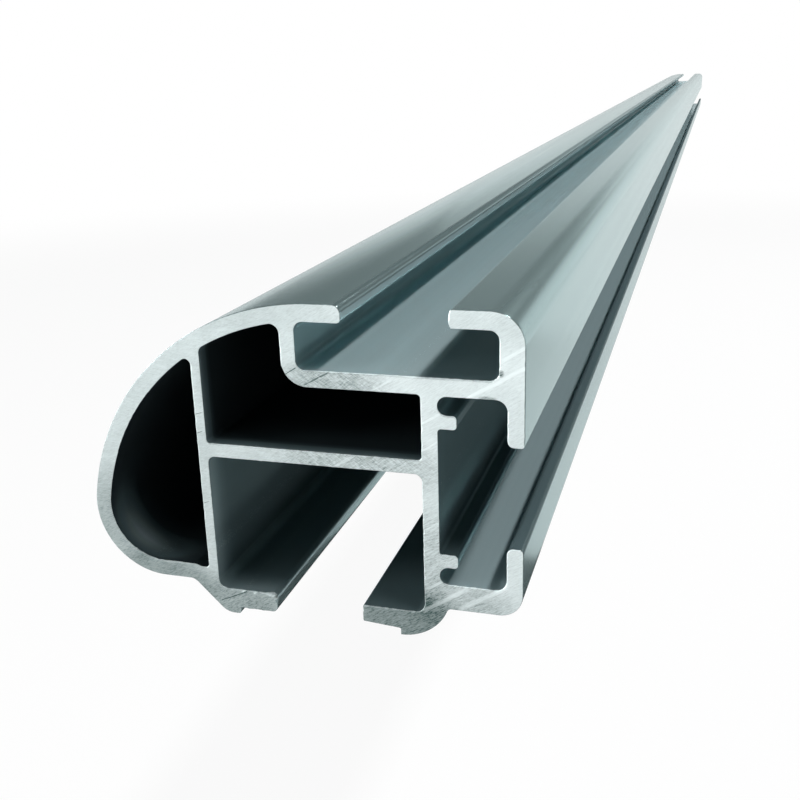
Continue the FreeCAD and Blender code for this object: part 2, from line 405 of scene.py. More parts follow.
def outside_places(x, z):
    """1 for points of the bar's outside, 0 in the slots, the channel and the chambers."""
    on_crown = (np.hypot(x - crown_x, z - crown_z) > crown_radius - skin_margin) & (x < crown_x)
    on_chin = (np.hypot(x - chin_x, z - chin_z) > chin_radius - skin_margin) & (x < chin_x)
    front_lip = (x < front_lip_tip) & (z > section_height - lip_top_radius)
    rear_lip = (x > rear_lip_tip + lip_end_crown) & (z > section_height - lip_top_radius)
    rear_corner = (x > top_slot_rear) & (z > top_slot_top)
    rear = x > rear_face - rear_lip_outer_radius
    between_webs = (x > channel_front - skin_margin) & (x < rear_web_front + skin_margin)
    under = (z < underside_height + skin_margin) & ~(between_webs & (z > foot_top - foot_tip_radius))
    return (on_crown | on_chin | front_lip | rear_lip | rear_corner | rear | under).astype(float)


# %% Raggedness of the sawn edges
edge_round = 0.05 * mm
edge_rings = 3
entry_growth = 2.4
entry_sharpness = 6
wear_grain = 0.9 * mm
wear_raggedness = 0.3
least_wear = 0.4 * edge_round
most_wear = 5 * edge_round
burr_grain = 0.6 * mm
torn_depth = 0.5 * mm
wave_count = 40
coarsest_wave = 20
burr_seed = 10
far_seed = 100


def ragged(loop, finest, seed):
    """A sum of sine waves along the loop, with lengths from the finest to the coarsest times that."""
    random = np.random.default_rng(seed)
    along = np.cumsum(np.linalg.norm(loop - np.roll(loop, 1, axis=0), axis=1))
    around = along[-1]
    waves = np.round(random.uniform(around / (coarsest_wave * finest), around / finest, wave_count))
    phase = random.uniform(0, 2 * math.pi, wave_count)
    sines = np.sin(2 * math.pi * np.outer(along / around, waves) + phase)
    return sines.sum(axis=1) / math.sqrt(wave_count)


def spot(loop, x, z, reach):
    """A bell, 1 at the place (x, z) and fading over the reach, by the distance squared."""
    return np.exp(-((loop[:, 0] - x)**2 + (loop[:, 1] - z)**2) / reach**2)


# each burred place is its x, its z, its reach and the burr's height
burred_places = [
    (channel_front, 14.5 * mm, 3.2 * mm, 0.09 * mm),
    (channel_front + 4.5 * mm, foot_top, 3.2 * mm, 0.2 * mm),
    (rear_web_back, 17.0 * mm, 3.0 * mm, 0.08 * mm),
    (-25.2 * mm, 8.7 * mm, 1.2 * mm, 0.12 * mm),
    (-20.5 * mm, nose_floor, 1.5 * mm, 0.05 * mm),
    (-4.5 * mm, middle_web_bottom, 4.0 * mm, 0.05 * mm),
]
torn_place = (front_foot_tip - 0.35 * mm, foot_top - 0.2 * mm, 0.9 * mm)


def end_rings(loop, seed, torn):
    """How far the loop is moved out of the metal, and how deep behind the cut, for each edge ring.

    The rounding is a quarter circle: at a turn a it stands back by its radius times (1 - sin a) and
    lies behind the cut by its radius times (1 - cos a). In the hollows, edges that face up or to the
    nose, where the blade went in, are rounded more. A burr pushes the first rings outwards.
    """
    away = away_from_metal(loop)
    hollow = 1 - outside_places(loop[:, 0], loop[:, 1])
    entry = hollow * np.clip(np.maximum(-away[:, 0], away[:, 1]), 0, 1)**entry_sharpness
    roughness = 1 + wear_raggedness * ragged(loop, wear_grain, seed)
    wear = np.clip(edge_round * (1 + entry_growth * entry) * roughness, least_wear, most_wear)
    if torn:
        wear = wear + torn_depth * spot(loop, *torn_place)
    burr = np.zeros(len(loop))
    teeth = ragged(loop, burr_grain, seed + burr_seed)
    for x, z, reach, height in burred_places:
        burr += height * spot(loop, x, z, reach) * teeth
    turn = np.radians(np.linspace(0, 90, edge_rings + 1))[:, None]
    outwards = -wear * (1 - np.sin(turn)) + burr * np.cos(turn)**2
    return outwards, wear * (1 - np.cos(turn))


# %% [markdown]
# Now each loop is carried along the bar. The stations are close together behind the cut and far
# apart in the middle. Each cut face is a flat sheet between the three loops, and a constrained
# Delaunay triangulation fills it: it keeps every edge of the loops, and triangles whose middle is in
# a hollow are dropped.

# %% Triangles of the cut face
only_inside = 1
merge_distance = 1e-7


def in_metal(points, loops):
    """True where a ray towards +X crosses the loops an odd number of times."""
    crossings = np.zeros(len(points), int)
    for loop in loops:
        ahead = np.roll(loop, -1, axis=0)
        px, pz = points[:, :1], points[:, 1:]
        spans = (loop[:, 1] > pz) != (ahead[:, 1] > pz)
        rise = np.where(ahead[:, 1] == loop[:, 1], 1, ahead[:, 1] - loop[:, 1])
        meets = loop[:, 0] + (pz - loop[:, 1]) * (ahead[:, 0] - loop[:, 0]) / rise
        crossings += np.sum(spans & (meets > px), axis=1)
    return crossings % 2 == 1


def cut_triangles(loops):
    """Triangles between the loops, each anticlockwise, as numbers of the loops' stacked points."""
    points = np.vstack(loops)
    runs = np.split(np.arange(len(points)), np.cumsum([len(loop) for loop in loops])[:-1])
    sides = np.vstack([np.column_stack([run, np.roll(run, -1)]) for run in runs]).tolist()
    filled = delaunay_2d_cdt((points / mm).tolist(), sides, [], only_inside, merge_distance)
    triangles = np.array(filled[2])
    corner = np.array(filled[0])[triangles] * mm
    keep = in_metal(corner.mean(axis=1), loops)
    one, two = corner[:, 1] - corner[:, 0], corner[:, 2] - corner[:, 0]
    turned = one[:, 0] * two[:, 1] - one[:, 1] * two[:, 0] < 0
    triangles[turned] = triangles[turned][:, ::-1]
    print("points that a cut had to add:", len(filled[0]) - len(points))
    return triangles[keep]


# %% Rings along the bar
station_growth = np.geomspace(0.6 * mm, 60 * mm, 12)
station_spacing = 200 * mm
sharp_angle = math.radians(38)
middle_stations = np.arange(near_end + station_spacing, far_end - station_spacing / 2, station_spacing)
stations = np.concatenate([near_end + station_growth, middle_stations, far_end - station_growth[::-1]])


def bar_rings(loop, seed):
    """Every ring of one loop as an array of (ring, point, xyz), from the near cut to the far one."""
    away = away_from_metal(loop)
    near_out, near_depth = end_rings(loop, seed, True)
    far_out, far_depth = end_rings(loop, seed + far_seed, False)
    plain = np.zeros((len(stations), len(loop)))
    out = np.vstack([near_out, plain, far_out[::-1]])
    y = np.vstack([near_end + near_depth, plain + stations[:, None], far_end - far_depth[::-1]])
    section = loop + out[:, :, None] * away
    return np.dstack([section[:, :, 0], y, section[:, :, 1]])


rings = [bar_rings(loop, seed) for seed, loop in enumerate(loops)]
print("rings along the bar:", len(rings[0]), "from", rings[0][0, 0, 1], "to", rings[0][-1, 0, 1])

# %% The bar's mesh


def ring_quads(number):
    """Quads between closed rings, from the points' numbers as an array of (ring, point)."""
    beside = np.roll(number, -1, axis=1)
    return np.stack([number[:-1], number[1:], beside[1:], beside[:-1]], axis=2)


def bar_mesh(rings):
    """Vertices, quads of the walls, quads of the hollows' bare rims, triangles of the two cuts."""
    vertices, walls, rims = [], [], []
    first_ring, last_ring = [], []
    base = 0
    for block in rings:
        ring_count, point_count = block.shape[:2]
        number = base + np.arange(ring_count * point_count).reshape(ring_count, point_count)
        quads = ring_quads(number)
        outer = outside_places(block[edge_rings, :, 0], block[edge_rings, :, 2]) > 0.5
        ends = np.vstack([quads[:edge_rings], quads[-edge_rings:]])
        rims.append(ends[:, ~outer].reshape(-1, 4))
        walls.append(ends[:, outer].reshape(-1, 4))
        walls.append(quads[edge_rings:-edge_rings].reshape(-1, 4))
        vertices.append(block.reshape(-1, 3))
        first_ring.append(number[0])
        last_ring.append(number[-1])
        base += ring_count * point_count
    near_cut, far_cut = [cut_triangles([block[end][:, [0, 2]] for block in rings]) for end in (0, -1)]
    near_cut = np.concatenate(first_ring)[near_cut]
    far_cut = np.concatenate(last_ring)[far_cut][:, ::-1]
    return np.vstack(vertices), np.vstack(walls), np.vstack(rims), np.vstack([near_cut, far_cut])


def put_in_scene(name, data):
    """An object at the origin for a mesh, a lamp or a camera, linked into the scene."""
    piece = bpy.data.objects.new(name, data)
    bpy.context.scene.collection.objects.link(piece)
    return piece


def mesh_object(name, vertices, walls, rims, triangles):
    """A mesh object. Its smooth walls have the first material, its rims and flat cuts the second."""
    mesh = bpy.data.meshes.new(name)
    mesh.from_pydata(vertices.tolist(), [], walls.tolist() + rims.tolist() + triangles.tolist())
    number = np.arange(len(mesh.polygons))
    mesh.polygons.foreach_set("material_index", (number >= len(walls)).astype(np.int32))
    mesh.set_sharp_from_angle(angle=sharp_angle)
    mesh.polygons.foreach_set("use_smooth", number < len(walls) + len(rims))
    return put_in_scene(name, mesh)


bar = mesh_object("crossbar_body", *bar_mesh(rings))
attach(bar, "root")
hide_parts("crossbar_extrusion")
print("bar's vertices and faces:", len(bar.data.vertices), len(bar.data.polygons))

# %% [markdown]
# Materials are worked out with shader maths. A small class wraps a node's output, so that an
# expression such as 1 - mask adds the Math node it needs. Every other node comes from one method.

# %% Shader maths as expressions


def operator(name):
    """An operator's method, and the reflected one, which has the wire on the right."""
    return (lambda self, other: self.maths(name, self, other),
            lambda self, other: self.maths(name, other, self))


class Wire:
    """An output socket of a material's nodes, with Python's operators on it."""

    def __init__(self, tree, socket=None):
        self.tree = tree
        self.socket = socket

    def node(self, kind, settings=(), sockets=(), output=0):
        """Adds a node, sets its settings, then its sockets' numbers or links, and wraps an output."""
        made = self.tree.nodes.new(kind)
        for name, value in dict(settings).items():
            setattr(made, name, value)
        for name, value in dict(sockets).items():
            if isinstance(value, Wire):
                self.tree.links.new(value.socket, made.inputs[name])
            else:
                made.inputs[name].default_value = value
        return Wire(self.tree, made.outputs[output])

    def maths(self, operation, *values):
        """Adds a Math node on the values."""
        return self.node("ShaderNodeMath", {"operation": operation}, dict(enumerate(values)))

    __add__, __radd__ = operator("ADD")
    __sub__, __rsub__ = operator("SUBTRACT")
    __mul__, __rmul__ = operator("MULTIPLY")
    __truediv__, __rtruediv__ = operator("DIVIDE")

    def __abs__(self):
        return self.maths("ABSOLUTE", self)

    def smooth(self, start, end):
        """0 below start, 1 above end, and a smooth step between. With start above end it falls."""
        limits = {"Value": self, "From Min": start, "From Max": end}
        return self.node("ShaderNodeMapRange", {"interpolation_type": "SMOOTHSTEP"}, limits)

    def bright(self, low, high):
        """Stretches a noise from about 0.3 to 0.7 over the range from low to high."""
        limits = {"Value": self, "From Min": 0.3, "From Max": 0.7, "To Min": low, "To Max": high}
        return self.node("ShaderNodeMapRange", {}, limits)


# %% Helpers for materials


def new_material(name, sockets):
    """A new material. Gives it, its shader with these sockets set, and a wire to start nodes from."""
    material = bpy.data.materials.new(name)
    material.use_nodes = True
    shader = material.node_tree.nodes["Principled BSDF"]
    for socket, value in sockets.items():
        shader.inputs[socket].default_value = value
    return material, shader, Wire(material.node_tree)


def noise(place, scale, turn=0.0, detail=2.0):
    """Noise on a place, after turning it about Y and stretching it. Scale is grains per metre."""
    spun = place.node("ShaderNodeMapping", {}, {"Vector": place, "Rotation": (0, turn, 0)})
    fitted = place.node("ShaderNodeMapping", {}, {"Vector": spun, "Scale": scale})
    return place.node("ShaderNodeTexNoise", {}, {"Vector": fitted, "Scale": 1, "Detail": detail})


def axis(place, name):
    """One number, X, Y or Z, of a place."""
    return place.node("ShaderNodeSeparateXYZ", {}, {"Vector": place}, output=name)


def colour_mix(amount, first, second):
    """Mixes two colours, each an (r, g, b) or a wire. The Mix node's colour sockets are 6 and 7."""
    ends = [colour if isinstance(colour, Wire) else (*colour, 1) for colour in (first, second)]
    sockets = {0: amount, 6: ends[0], 7: ends[1]}
    return amount.node("ShaderNodeMix", {"data_type": "RGBA"}, sockets, output=2)


def link(source, shader, name):
    """Feeds a wire into one of the shader's sockets."""
    source.tree.links.new(source.socket, shader.inputs[name])


def show(shader):
    """Feeds a wire from a shader into the material's output."""
    shader.tree.links.new(shader.socket, shader.tree.nodes["Material Output"].inputs["Surface"])


# %% [markdown]
# The long sides keep the surface that the die gave them, under a thin satin anodising. Fine lines run
# along the bar, so the noise for them is stretched a thousandfold along Y. The outside was blasted
# before anodising, which makes it a little darker and more even. Two attributes on the mesh say where
# a point is: one for the outside, and one for painted shade. The second is the share of a dark, rough
# shader that paints shade in the hollows, a shadow in the top slot and shade on a few outer edges,
# least near the cut, where light is painted in, and most in the closed chambers. A Mix Shader mixes
# it in, because a wall seen at a grazing angle mirrors its surroundings whatever its colour is.

# %% Painted shade at each place
key_lean = math.radians(27)
shadow_edge = rear_lip_tip - (top_slot_top - top_slot_bottom) * math.tan(key_lean)
# each box of painted shade: left, right, low and high, their margins in mm, share, fade in mm,
# and the light painted in at the cut
painted_shade_places = {
    "channel walls": ((channel_front, rear_web_front, foot_top, middle_web_bottom),
                      (-1, 1, 0.8, 0.9), 0.72, 1.6, 0.65),
    "front foot": ((channel_front, front_foot_tip, foot_top, foot_top), (-1, 0, -0.6, 1.2), 0.6, 0.4, 0.6),
    "rear foot": ((rear_foot_tip, rear_web_front, foot_top, foot_top), (0, 1, -0.6, 1.2), 0.68, 0.4, 0.2),
    "top slot's front wall": ((top_slot_front, top_slot_front, top_slot_bottom, top_slot_top),
                              (-0.9, 0.8, -0.6, 0.6), 0.4, 0.8, 0),
    "shadow in the top slot": ((shadow_edge, top_slot_rear, top_slot_bottom, top_slot_top),
                               (0, 0.9, -0.9, -0.5), 0.5, 1, 0),
    "rear web": ((rear_web_back, rear_web_back, rear_slot_bottom, rear_slot_top),
                 (-0.8, 0.9, 0.5, 0.5), 0.52, 0.8, 0),
    "nibs": ((rear_web_back, nib_tip, lower_nib_bottom, upper_nib_top), (-0.8, 0.5, -0.4, 0.4), 0.7, 0.4, 0),
    "rear slot's ledge": ((rear_web_back, rear_lip_inside, rear_slot_bottom, rear_slot_bottom),
                          (-0.5, 0.5, -0.6, 0.6), 0.2, 0.4, 0),
    "lower lip's top": ((rear_lip_inside, rear_face, mouth_bottom, mouth_bottom),
                        (-0.3, 1, -0.7, 0.5), 0.8, 0.6, 0),
    "lower rear face": ((rear_face, rear_face, underside_height, mouth_bottom),
                        (-0.5, 1, 1, -0.7), 0.12, 1, 0),
    "front lip's upper edge": ((front_lip_tip, front_lip_tip, section_height, section_height),
                               (-0.9, 0.5, -0.8, 0.2), 0.42, 0.5, 0),
    "front lip's lower edge": ((front_lip_tip, front_lip_tip, top_slot_top, top_slot_top),
                               (-0.7, 0.5, -0.4, 0.3), 0.5, 0.3, 0),
}
# Light painted in near the cut, at the chambers' openings and low in the nose
cut_light_reach = 3.0 * mm
chamber_edge_light = 0.75
chamber_edge_depth = 2.4 * mm
chin_light_depth = 3.6 * mm
chin_light_x, chin_light_z, chin_light_reach = -25.5 * mm, 8.0 * mm, 5.5 * mm
chin_light_focus = 2


def climb(value, start, width):
    """0 before a start and 1 after it, straight between over a width."""
    return np.clip((value - start) / width + 0.5, 0, 1)


def painted_shade(block, number):
    """Painted shade, 0 in the open and 1 deep in a closed chamber, for every ring and point of a loop.

    Light is painted a little way into the chambers: edge light times (1 - depth / edge depth) into the
    middle one, number 1, and a bell round a place and a depth low in the nose, number 2. Elsewhere each
    box gives its share of painted shade, faded over its fade and less the light painted in at the cut,
    and the largest holds.
    """
    x, z = block[:, :, 0], block[:, :, 2]
    depth = np.minimum(block[:, :, 1] - near_end, far_end - block[:, :, 1])
    if number == 1:
        return 1 - chamber_edge_light * np.clip(1 - depth / chamber_edge_depth, 0, 1)
    if number == 2:
        spread = ((x - chin_light_x)**2 + (z - chin_light_z)**2) / chin_light_reach**2
        behind = ((depth - chin_light_depth) / chin_light_depth)**2
        return 1 - np.exp(-spread - chin_light_focus * behind)
    amount = np.zeros(x.shape)
    cut_bell = np.exp(-(depth / cut_light_reach)**2)
    for sides, margins, share, fade, cut_light in painted_shade_places.values():
        left, right, low, high = np.array(sides) + np.array(margins) * mm
        across = climb(x, left, fade * mm) * climb(right, x, fade * mm)
        upright = climb(z, low, fade * mm) * climb(high, z, fade * mm)
        amount = np.maximum(amount, share * across * upright * (1 - cut_light * cut_bell))
    return amount


# The second attribute holds the painted shade.
measured = {
    "outside": [outside_places(block[:, :, 0], block[:, :, 2]).ravel() for block in rings],
    "painted_shade": [painted_shade(block, number).ravel() for number, block in enumerate(rings)],
}
for attribute, parts in measured.items():
    values = np.concatenate(parts)
    layer = bar.data.attributes.new(attribute, "FLOAT", "POINT")
    layer.data.foreach_set("value", values.astype(np.float32))
    print("mean of the attribute", attribute, round(float(values.mean()), 3))

# %% The extruded skin
inner_dark, inner_light = (0.4, 0.51, 0.53), (0.5, 0.61, 0.63)
outer_dark, outer_light = (0.21, 0.28, 0.28), (0.3, 0.38, 0.38)
painted_shade_skin = (0.21, 0.32, 0.34)
inner_rough, outside_polish = 0.25, 0.06
skin_material, skin_shader, tree = new_material("satin_extruded_aluminium", {
    "Metallic": 0.5, "Specular Tint": (0.72, 0.97, 0.98, 1)})
place = tree.node("ShaderNodeTexCoord", output="Object")
outside = tree.node("ShaderNodeAttribute", {"attribute_name": "outside"}, output="Fac")
painted_shade_amount = tree.node("ShaderNodeAttribute", {"attribute_name": "painted_shade"}, output="Fac")
die_lines = noise(place, (1500, 1.2, 1500), detail=4.0)
broad_lines = noise(place, (260, 0.5, 260))
grain = noise(place, (6000, 6000, 6000))
grain_share = 0.5 + 0.5 * outside
tone = die_lines.bright(0.2, 0.4) + broad_lines.bright(0.1, 0.3) + grain_share * grain.bright(-0.12, 0.12)
# The inner colour is painted darker where the painted shade lies.
inner = colour_mix(painted_shade_amount, colour_mix(tone, inner_dark, inner_light), painted_shade_skin)
outer = colour_mix(tone, outer_dark, outer_light)
link(colour_mix(outside, inner, outer), skin_shader, "Base Color")
rough = inner_rough - outside_polish * outside + broad_lines.bright(-0.015, 0.015)
rough = rough + grain_share * grain.bright(-0.03, 0.03)
link(rough, skin_shader, "Roughness")
relief = die_lines * 0.4 + broad_lines * 0.4 + grain_share * grain * 0.25
bump = {"Height": relief, "Strength": 0.25, "Distance": 0.003 * mm}
link(tree.node("ShaderNodeBump", {}, bump), skin_shader, "Normal")
print("nodes of the satin finish:", len(tree.tree.nodes))

# %% Painted shade: a dark, rough shader mixed into the skin
slot_painted_shade, chamber_painted_shade = (0.042, 0.062, 0.068), (0.018, 0.025, 0.028)
painted_shade_colour = colour_mix(painted_shade_amount.smooth(0.8, 1), slot_painted_shade, chamber_painted_shade)
painted_shade_sockets = {"Base Color": painted_shade_colour, "Roughness": 0.7, "Specular IOR Level": 0.0}
painted_shade_shader = tree.node("ShaderNodeBsdfPrincipled", {}, painted_shade_sockets)
skin = Wire(tree.tree, skin_shader.outputs["BSDF"])
# The painted shade's share mixes the dark shader into the skin.
show(tree.node("ShaderNodeMixShader", {}, {0: painted_shade_amount, 1: skin, 2: painted_shade_shader}))
bar.data.materials.append(skin_material)
print("nodes in the skin's material:", len(tree.tree.nodes))

# %% [markdown]
# The cut face is bare metal, brighter than the anodised sides. A coarse saw crossed it at 31 degrees.
# Its teeth left fine parallel hatching on the rear side, a softer level grain on the nose, crossing
# marks on the level webs, and now and then a bright streak. All of them are noises stretched along
# the saw's travel, and how strong each is depends on the place. The streaks and the few scratches are
# straight marks between two points.

# %% The sawn face
saw_turn = math.radians(31)
crossing_turn = -1.15 * saw_turn
level_turn = -0.1
waver_reach = 0.06 * mm
nose_side_end, right_side_start = -9 * mm, 12 * mm
cut_material, cut_shader, tree = new_material("sawn_aluminium", {})
place = tree.node("ShaderNodeTexCoord", output="Object")
x, y, z = [axis(place, name) for name in "XYZ"]
right_side = x.smooth(nose_side_end, right_side_start)
waver = noise(place, (400, 1, 400)).bright(-waver_reach, waver_reach)


def straight_mark(start, end, half_width, taper):
    """1 along a straight mark on the face, fading at its sides and over the taper at its two ends.

    The place is taken from the mark's start. Its part along the mark is its product with the mark's
    direction, and its part across is the product with that direction turned square.
    """
    length = math.hypot(end[0] - start[0], end[1] - start[1])
    run = (end[0] - start[0]) / length
    rise = (end[1] - start[1]) / length
    along = (x - start[0] * mm) * run + (z - start[1] * mm) * rise
    across = abs((x - start[0] * mm) * rise - (z - start[1] * mm) * run + waver)
    ends = along.smooth(0, taper * mm) * along.smooth(length * mm, (length - taper) * mm)
    return across.smooth(half_width * 1.5 * mm, half_width * 0.5 * mm) * ends


def straight_marks(table, taper):
    """The sum of a table's marks, each a start, an end, a half width and a strength."""
    return sum(strength * straight_mark(start, end, half_width, taper)
               for start, end, half_width, strength in table)


# %% Bright streaks of the coarse saw teeth, in millimetres on the face
streak = straight_marks(taper=0.9, table=[
    ((26.9, 38.2), (30.4, 40.3), 0.2, 0.9),
    ((15.5, 28.7), (24, 34.1), 0.14, 0.8),
    ((22.6, 33.2), (30.4, 37.9), 0.22, 1),
    ((16.9, 26), (19.6, 27.9), 0.12, 0.7),
    ((10.6, 33.5), (13.8, 35.4), 0.13, 0.8),
    ((5.2, 23), (8.8, 25.1), 0.16, 0.7),
    ((16.9, 6.9), (20, 8.7), 0.14, 0.8),
    ((16.6, 3.7), (23.4, 8.2), 0.28, 1),
    ((21.4, 4.6), (28.4, 8.9), 0.3, 0.9),
    ((16.9, 15.3), (19.6, 16.9), 0.12, 0.6),
])
print("nodes with the streaks:", len(tree.tree.nodes))

# %% Scratches, in millimetres too
scratch = straight_marks(taper=0.2, table=[
    ((-13.5, 28.9), (-12.4, 29.2), 0.05, 0.8),
    ((-13.6, 26.2), (-12.6, 26.6), 0.05, 0.8),
    ((-13.5, 16.2), (-12.5, 16.6), 0.05, 0.6),
    ((-0.4, 35.1), (1.2, 36.1), 0.06, 0.9),
    ((2.0, 33.8), (5.6, 35.8), 0.08, 0.6),
    ((-12.1, 1.7), (-8.0, 3.6), 0.06, 0.8),
    ((-29.8, 7.0), (-27.7, 7.9), 0.09, 0.7),
])
print("nodes with the scratches:", len(tree.tree.nodes))

# %% Places where the blade ran rough
# each is a middle and a reach in mm, both across and up, then its darkening, graining and crossing
rough_places = [
    (9, 23.8, 14, 5, 0.29, 0.6, 1),
    (5.5, 34.3, 9, 3.6, 0.31, 0.4, 1),
    (17.5, 12, 5, 9, 0.24, 0.6, 0),
    (13.5, 1.5, 12, 7, 0.68, 0.3, 0),
    (22.5, 5.5, 8, 5, 0.28, 0.6, 0),
    (-8.5, 1, 10, 6.5, 0.36, 0.4, 0),
    (-20, 4.5, 9, 6, 0.36, 0.2, 0),
    (-27.5, 11, 6.5, 11, 0.27, 0.2, 0),
    (25.5, 33.5, 1.4, 0.5, 0.5, 1, 0),
    (27.1, 36.8, 0.5, 0.6, 0.6, 1, 0),
    (-3.4, 3.6, 0.9, 0.8, 0.6, 1, 0),
]
darkened = grained = crossed = 0
for middle_x, middle_z, reach_x, reach_z, darkening, graining, crossing in rough_places:
    far_x = (x - middle_x * mm) / (reach_x * mm)
    far_z = (z - middle_z * mm) / (reach_z * mm)
    bell = (far_x * far_x + far_z * far_z).smooth(1, 0)
    darkened = darkened + darkening * bell
    grained = grained + graining * bell
    crossed = crossed + crossing * bell
print("nodes with the rough places:", len(tree.tree.nodes))

# %% Hatching, grain and the face's colour
face_light, right_side_light, grain_light, rough_shade, patch_light = 0.62, 0.155, 0.06, 0.87, 0.035
top_shade, top_shade_start, top_shade_full = 0.09, 39 * mm, 43 * mm
worn_light, worn_start, worn_full = 0.32, 0.004 * mm, 0.04 * mm
darkest_metal, brightest_metal = (0.05, 0.09, 0.085), (0.86, 0.95, 0.955)
hatch = noise(place, (900, 1, 8000), turn=saw_turn, detail=3.0).bright(-1, 1)
crossing_hatch = noise(place, (900, 1, 7000), turn=crossing_turn, detail=3.0).bright(-1, 1)
level_hatch = noise(place, (600, 1, 6000), turn=level_turn, detail=3.0).bright(-1, 1)
dark_grain = noise(place, (2200, 1, 10000), turn=saw_turn).smooth(0.5, 0.36)
patches = noise(place, (220, 1, 220)).bright(-1, 1)
marks = (0.025 + 0.03 * right_side + 0.1 * grained) * hatch + 0.14 * crossed * crossing_hatch
marks = marks + 0.04 * (1 - right_side) * level_hatch - (0.07 + 0.2 * grained) * dark_grain
level = face_light + right_side_light * right_side + grain_light * grained
level = level - rough_shade * darkened + patch_light * patches
level = level - top_shade * z.smooth(top_shade_start, top_shade_full)
worn = abs(y).smooth(far_end - worn_start, far_end - worn_full)
light = level + marks * (1 - 0.6 * streak) + (0.14 + 0.1 * grained) * streak - 0.5 * scratch
light = light + worn_light * worn
link(colour_mix(light, darkest_metal, brightest_metal), cut_shader, "Base Color")
link(0.37 - 0.05 * streak + 0.15 * marks + 0.25 * worn, cut_shader, "Roughness")
link(1 - 0.7 * worn, cut_shader, "Metallic")
bump = {"Height": marks + 0.3 * streak - scratch, "Strength": 0.4, "Distance": 0.02 * mm}
link(tree.node("ShaderNodeBump", {}, bump), cut_shader, "Normal")
bar.data.materials.append(cut_material)
print("nodes in the sawn face's material:", len(tree.tree.nodes))

# %% [markdown]
# The photograph shows plain white behind the bar, and white below it too. So the world is white, and
# the floor is a pale sheet that is white to the camera and to reflections but keeps some of the
# bar's shadow. It lies 20 cm down, because in the photograph the bar stands on nothing.

# %% Floor and world
floor_level = -0.2
floor_size = 6.0
floor_colour = (0.8, 0.8, 0.8)
floor_whiteness = 0.93
whiter_from, white_from = 0.9, 1.6
one_face = [(0, 1, 2, 3)]


def stage_mesh(name, corners, faces, material):
    """A stage piece from its corners and faces, with one material."""
    mesh = bpy.data.meshes.new(name)
    mesh.from_pydata(corners, [], faces)
    mesh.materials.append(material)
    piece = put_in_scene(name, mesh)
    return piece


def level_sheet(left, right, near, far, height):
    """Corners of a level rectangle."""
    return [(left, near, height), (right, near, height), (right, far, height), (left, far, height)]


def upright_sheet(start, end, low, high):
    """Corners of an upright rectangle over the floor's line between two (x, y) places."""
    return [(*start, low), (*end, low), (*end, high), (*start, high)]


def dull_material(name, colour):
    """A material without gloss, with its shader's output and a wire to start nodes from."""
    sockets = {"Base Color": (*colour, 1), "Roughness": 0.9, "Specular IOR Level": 0}
    material, shader, tree = new_material(name, sockets)
    return material, Wire(tree.tree, shader.outputs["BSDF"]), tree


floor_material, surface, tree = dull_material("pale_floor", floor_colour)
place = tree.node("ShaderNodeTexCoord", output="Object")
distance = tree.node("ShaderNodeVectorMath", {"operation": "LENGTH"}, {0: place}, output="Value")
glow = tree.node("ShaderNodeEmission", {}, {"Strength": 1}, output="Emission")
camera_ray = tree.node("ShaderNodeLightPath", output="Is Camera Ray")
glossy_ray = Wire(tree.tree, camera_ray.socket.node.outputs["Is Glossy Ray"])
whiteness = floor_whiteness + (1 - floor_whiteness) * distance.smooth(whiter_from, white_from)
white = (camera_ray + glossy_ray) * whiteness
show(tree.node("ShaderNodeMixShader", {}, {0: white, 1: surface, 2: glow}))
edge = floor_size / 2
stage_mesh("studio_floor", level_sheet(-edge, edge, -edge, edge, floor_level), one_face, floor_material)

world = bpy.data.worlds.new("white_surround")
bpy.context.scene.world = world
world.use_nodes = True
world.node_tree.nodes["Background"].inputs["Color"].default_value = (1, 1, 1, 1)
print("floor at", floor_level, "and a white world")

# %% [markdown]
# Metal shows what is round it. The photographed bar mirrors a dark ceiling that begins a little above
# the horizon, so the studio has one: a large dome, dark above and fading to white at its rim, which
# the camera doesn't see. Low black cards keep the white floor out of the channel and the rear slot.
# A black flag at the left shades the nose, and it fades out to one side, so that the crown shows a
# soft gradient and no edge. A white card far behind lightens the far part of the top, as the white
# backdrop does in the photograph.

# %% The dark ceiling
ceiling_radius = 20.0
ceiling_rim, ceiling_top = 3.0, 88
ceiling_white_to, ceiling_dark_from = 5.0, 9.0
ceiling_dark = (0.042, 0.06, 0.062)
azimuth_steps, elevation_steps = 72, 24
azimuth = np.radians(np.arange(azimuth_steps) * 360 / azimuth_steps)[None, :]
elevation = np.radians(np.linspace(ceiling_rim, ceiling_top, elevation_steps + 1))[:, None]
ceiling_points = ceiling_radius * np.dstack([
    np.cos(elevation) * np.sin(azimuth),
    np.cos(elevation) * np.cos(azimuth),
    np.sin(elevation) * np.ones_like(azimuth),
]).reshape(-1, 3)
number = np.arange(len(ceiling_points)).reshape(elevation_steps + 1, azimuth_steps)
ceiling_faces = ring_quads(number).reshape(-1, 4).tolist() + [number[-1].tolist()]

ceiling_material, _, tree = new_material("dark_ceiling", {})
height = axis(tree.node("ShaderNodeTexCoord", output="Object"), "Z")
white_height = ceiling_radius * math.sin(math.radians(ceiling_white_to))
dark_height = ceiling_radius * math.sin(math.radians(ceiling_dark_from))
shade = colour_mix(height.smooth(dark_height, white_height), ceiling_dark, (1, 1, 1))
show(tree.node("ShaderNodeEmission", {}, {"Color": shade, "Strength": 1}, output="Emission"))
ceiling = stage_mesh("dark_ceiling", ceiling_points.tolist(), ceiling_faces, ceiling_material)
ceiling.visible_camera = False
print("ceiling faces:", len(ceiling_faces))

# %% Black cards on the floor, each by its two ends across and along


def put_up(name, corners, material):
    """Puts up a flat card that only the metal mirrors: no camera, soft light or shadow sees it."""
    card = stage_mesh(name, corners, one_face, material)
    card.visible_camera = False
    card.visible_diffuse = False
    card.visible_shadow = False


